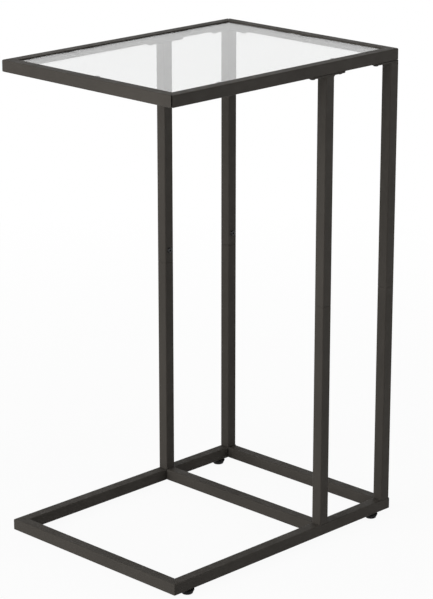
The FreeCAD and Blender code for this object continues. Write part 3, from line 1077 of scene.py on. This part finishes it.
class SIDETABLE_OT_feet(bpy.types.Operator):
    """Makes the levelling feet: pads with grip ribs, and threaded studs."""

    bl_idname = "side_table.feet"
    bl_label = "Feet"

    def execute(self, context):
        sizes = context.scene.side_table_sizes
        for foot in FEET:
            place = Matrix.Translation(foot_middle(foot))
            node = "foot_pad_" + foot
            low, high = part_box(node)
            pad = piece(node + "_moulded", self.pad(high - low, sizes), foot_plastic(), place)
            dress(pad, "pad_" + foot, "foot_plastic", node)
            node = "foot_stud_" + foot
            low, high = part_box(node)
            stud = piece(node + "_threaded", self.stud(low.z, high.z, sizes), zinc_plate(), place)
            dress(stud, "stud_" + foot, "zinc_steel", node)
        return {"FINISHED"}

    def pad(self, span, sizes):
        """A tapered pad with a shallow hollow beneath, ribs round its rim and a pocket for the stud."""
        top, bottom, height = max(span.x, span.y) / 2, sizes.foot_bottom / 2, span.z
        edge = sizes.plate_round
        neck = sizes.stud_diameter / 2 + sizes.running_clearance
        pocket = sizes.stud_flange_width / 2 + sizes.running_clearance
        pocket_top = sizes.pocket_floor + sizes.stud_flange + FLANGE_ROOM * sizes.running_clearance
        under = [(sizes.sole / 4, sizes.sole_depth), (sizes.sole / 2, sizes.sole_depth)]
        under += [(sizes.sole / 2 + sizes.sole_depth, 0)]
        under += [(bottom - inset, depth) for inset, depth in rounding(sizes.foot_round)]
        rim = [(top - edge, height - sizes.foot_rim - edge), (top, height - sizes.foot_rim)]
        rim += [(top - inset, height - depth) for inset, depth in rounding(edge)[::-1]]
        hole = [(neck + edge, height), (neck, height - edge), (neck, pocket_top), (pocket, pocket_top)]
        hole += [(pocket, sizes.pocket_floor), (pocket / 2, sizes.pocket_floor)]
        rings = [turned_ring(*point, count=PAD_STEPS) for point in under]
        rings += [self.ribbed_ring(*point, sizes.rib_depth) for point in rim]
        rings += [turned_ring(*point, count=PAD_STEPS) for point in hole]
        return lofted(rings)

    def ribbed_ring(self, radius, height, depth):
        """A level circle with a rib at every fourth point."""
        ring = []
        for step, (x, y, z) in enumerate(turned_ring(1, height, count=PAD_STEPS)):
            reach = radius - depth * (1 - math.cos(QUARTER_TURN * step)) / 2
            ring.append((x * reach, y * reach, z))
        return ring

    def stud(self, low, high, sizes):
        """A stud with a flange in the pad's pocket and a right-hand thread above it."""
        flange, edge = sizes.stud_flange_width / 2, sizes.thread_depth / 2
        root = sizes.stud_diameter / 2 - sizes.thread_depth
        shoulder = low + sizes.stud_flange
        shape = [(root / 2, low), (flange - edge, low), (flange, low + edge)]
        shape += [(flange, shoulder - edge), (flange - edge, shoulder), (root, shoulder)]
        rings = [turned_ring(*point) for point in shape]
        turns = (high - shoulder) / sizes.thread_pitch - 1
        steps = round(turns * THREAD_STEPS)
        for step in range(1, steps + 1):
            along = step / THREAD_STEPS
            depth = sizes.thread_depth * min(1, along, (steps - step) / THREAD_STEPS)
            ring = []
            for number, (x, y, z) in enumerate(turned_ring(1, shoulder + sizes.thread_pitch * along)):
                slope = abs(2 * ((along - number / LATHE_STEPS) % 1) - 1)
                reach = root + depth * min(1, max(0, slope * THREAD_FLANK - THREAD_FLAT))
                ring.append((x * reach, y * reach, z))
            rings.append(ring)
        rings += [turned_ring(root, high - edge), turned_ring(root - edge, high)]
        return lofted(rings)


class SIDETABLE_OT_inner_steel(bpy.types.Operator):
    """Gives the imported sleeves, nut blocks, rivet nuts and inserts their zinc plate."""

    bl_idname = "side_table.inner_steel"
    bl_label = "Inner steel"

    def execute(self, context):
        for node in SHOWN_STEEL:
            for slot in frame["nodes"][node].material_slots:
                slot.material = zinc_plate()
        return {"FINISHED"}


# The stage

def seen(tree, *kinds):
    """One for rays from the camera, through a pane or of another named kind, and nought for the rest."""
    path = added(tree, "ShaderNodeLightPath").outputs
    found = path["Is Camera Ray"]
    for kind in ("Is Transmission Ray", *kinds):
        either = added(tree, "ShaderNodeMath", {0: found, 1: path[kind]}, operation="MAXIMUM")
        found = either.outputs["Value"]
    return found


def mixed(tree, factor, first, second):
    """A mix of two shaders by a factor."""
    return added(tree, "ShaderNodeMixShader", {"Fac": factor, 1: first, 2: second}).outputs["Shader"]


def pale_floor():
    """A white floor that keeps a soft shadow. From beneath it is clear, so that the feet can be seen."""
    material = bpy.data.materials.new("pale_floor")
    material.use_nodes = True
    tree = material.node_tree
    tree.nodes.clear()
    matte = added(tree, "ShaderNodeBsdfDiffuse", {"Color": (*finishes().floor, 1)}).outputs["BSDF"]
    white = added(tree, "ShaderNodeEmission").outputs["Emission"]
    clear = added(tree, "ShaderNodeBsdfTransparent").outputs["BSDF"]
    place = added(tree, "ShaderNodeTexCoord").outputs["Object"]
    far = added(tree, "ShaderNodeVectorMath", {0: place}, operation="LENGTH")
    shown = mixed(tree, spread(tree, far.outputs["Value"], *FLOOR_FADE), matte, white)
    above = mixed(tree, seen(tree, "Is Glossy Ray"), matte, shown)
    beneath = added(tree, "ShaderNodeNewGeometry").outputs["Backfacing"]
    added(tree, "ShaderNodeOutputMaterial", {"Surface": mixed(tree, beneath, above, clear)})
    return material


def stage_floor():
    """The floor of the stage, with its face up."""
    reach = FLOOR_REACH
    corners = [(-reach, -reach, 0), (reach, -reach, 0), (reach, reach, 0), (-reach, reach, 0)]
    mesh = bpy.data.meshes.new("floor")
    mesh.from_pydata(corners, [], [(0, 1, 2, 3)])
    mesh.materials.append(pale_floor())
    return linked_object("floor", mesh)


def backdrop(tree, strength):
    """A white background of some strength."""
    inputs = {"Color": (1, 1, 1, 1), "Strength": strength}
    return added(tree, "ShaderNodeBackground", inputs).outputs["Background"]


def studio():
    """A world of even light, white to the camera and the pane. Gloss sees walls, brighter on one side."""
    world = bpy.data.worlds.new("studio")
    world.use_nodes = True
    tree = world.node_tree
    tree.nodes.clear()
    place = added(tree, "ShaderNodeTexCoord").outputs["Generated"]
    facing = added(tree, "ShaderNodeVectorMath", {0: place, 1: BRIGHT_WAY}, operation="DOT_PRODUCT")
    walls = backdrop(tree, spread(tree, facing.outputs["Value"], *WALL_FADE))
    glossy = added(tree, "ShaderNodeLightPath").outputs["Is Glossy Ray"]
    lit = mixed(tree, glossy, backdrop(tree, finishes().ambient), walls)
    shown = mixed(tree, seen(tree), lit, backdrop(tree, 1.0))
    added(tree, "ShaderNodeOutputWorld", {"Surface": shown})
    return world


def aimed(name, data, place, way):
    """A light or a camera at a place, turned one way."""
    made = linked_object(name, data)
    made.location = place
    made.rotation_euler = way.to_track_quat("-Z", "Y").to_euler()
    return made


def soft_light(name, place, span, gloss, spared):
    """A light of some width and height. It isn't seen itself, and it spares some pieces."""
    lamp = bpy.data.lights.new(name + "_light", "AREA")
    lamp.shape = "RECTANGLE"
    lamp.size, lamp.size_y = span
    lamp.energy = getattr(finishes(), name)
    made = aimed(lamp.name, lamp, place, LIT_POINT - Vector(place))
    made.visible_camera = False
    made.visible_glossy = gloss
    made.light_linking.receiver_collection = spared


def photo_camera():
    """The photograph's camera."""
    eye = bpy.data.cameras.new("photo_camera")
    eye.sensor_width = SENSOR_WIDTH
    eye.lens = CAMERA_LENS
    level = math.cos(CAMERA_PITCH)
    ahead = Vector((level * math.cos(CAMERA_YAW), level * math.sin(CAMERA_YAW), -math.sin(CAMERA_PITCH)))
    return aimed(eye.name, eye, CAMERA_PLACE, ahead)


class SIDETABLE_OT_stage(bpy.types.Operator):
    """Makes the floor, the soft light round the table, and the camera."""

    bl_idname = "side_table.stage"
    bl_label = "Stage"

    def execute(self, context):
        scene = context.scene
        scene.view_settings.view_transform = "Standard"
        stage_floor()
        scene.world = studio()
        spared = bpy.data.collections.new("spared_by_lights")
        spared.objects.link(bpy.data.objects[PANE])
        spared.collection_objects[0].light_linking.link_state = "EXCLUDE"
        for name, (place, span, gloss) in LIGHTS.items():
            soft_light(name, place, span, gloss, spared)
        scene.camera = photo_camera()
        return {"FINISHED"}


OPERATORS = (
    SIDETABLE_OT_top_frame,
    SIDETABLE_OT_base_frame,
    SIDETABLE_OT_uprights,
    SIDETABLE_OT_flange_plates,
    SIDETABLE_OT_glass_pane,
    SIDETABLE_OT_glass_supports,
    SIDETABLE_OT_weld_beads,
    SIDETABLE_OT_screws,
    SIDETABLE_OT_end_caps,
    SIDETABLE_OT_feet,
    SIDETABLE_OT_inner_steel,
    SIDETABLE_OT_stage,
)


class SIDETABLE_PT_panel(bpy.types.Panel):
    """Lists the table's pieces and what can be changed on them."""

    bl_idname = "SIDETABLE_PT_panel"
    bl_label = "Side table"
    bl_space_type = "VIEW_3D"
    bl_region_type = "UI"
    bl_category = "Side table"

    def draw(self, context):
        for settings in (context.scene.side_table_sizes, context.scene.side_table_finishes):
            box = self.layout.box()
            for name in type(settings).__annotations__:
                box.prop(settings, name)
        for operator in OPERATORS:
            self.layout.operator(operator.bl_idname)


CLASSES = (SideTableSizes, SideTableFinishes) + OPERATORS + (SIDETABLE_PT_panel,)


def register():
    """Adds the classes, and the settings that the scene holds."""
    for kind in CLASSES:
        bpy.utils.register_class(kind)
    bpy.types.Scene.side_table_sizes = bpy.props.PointerProperty(type=SideTableSizes)
    bpy.types.Scene.side_table_finishes = bpy.props.PointerProperty(type=SideTableFinishes)


def unregister():
    """Takes the settings and the classes away."""
    del bpy.types.Scene.side_table_finishes
    del bpy.types.Scene.side_table_sizes
    for kind in reversed(CLASSES):
        bpy.utils.unregister_class(kind)


def main():
    """Makes every piece and the stage."""
    register()
    for operator in OPERATORS:
        family, name = operator.bl_idname.split(".")
        getattr(getattr(bpy.ops, family), name)()


if __name__ == "__main__":
    main()
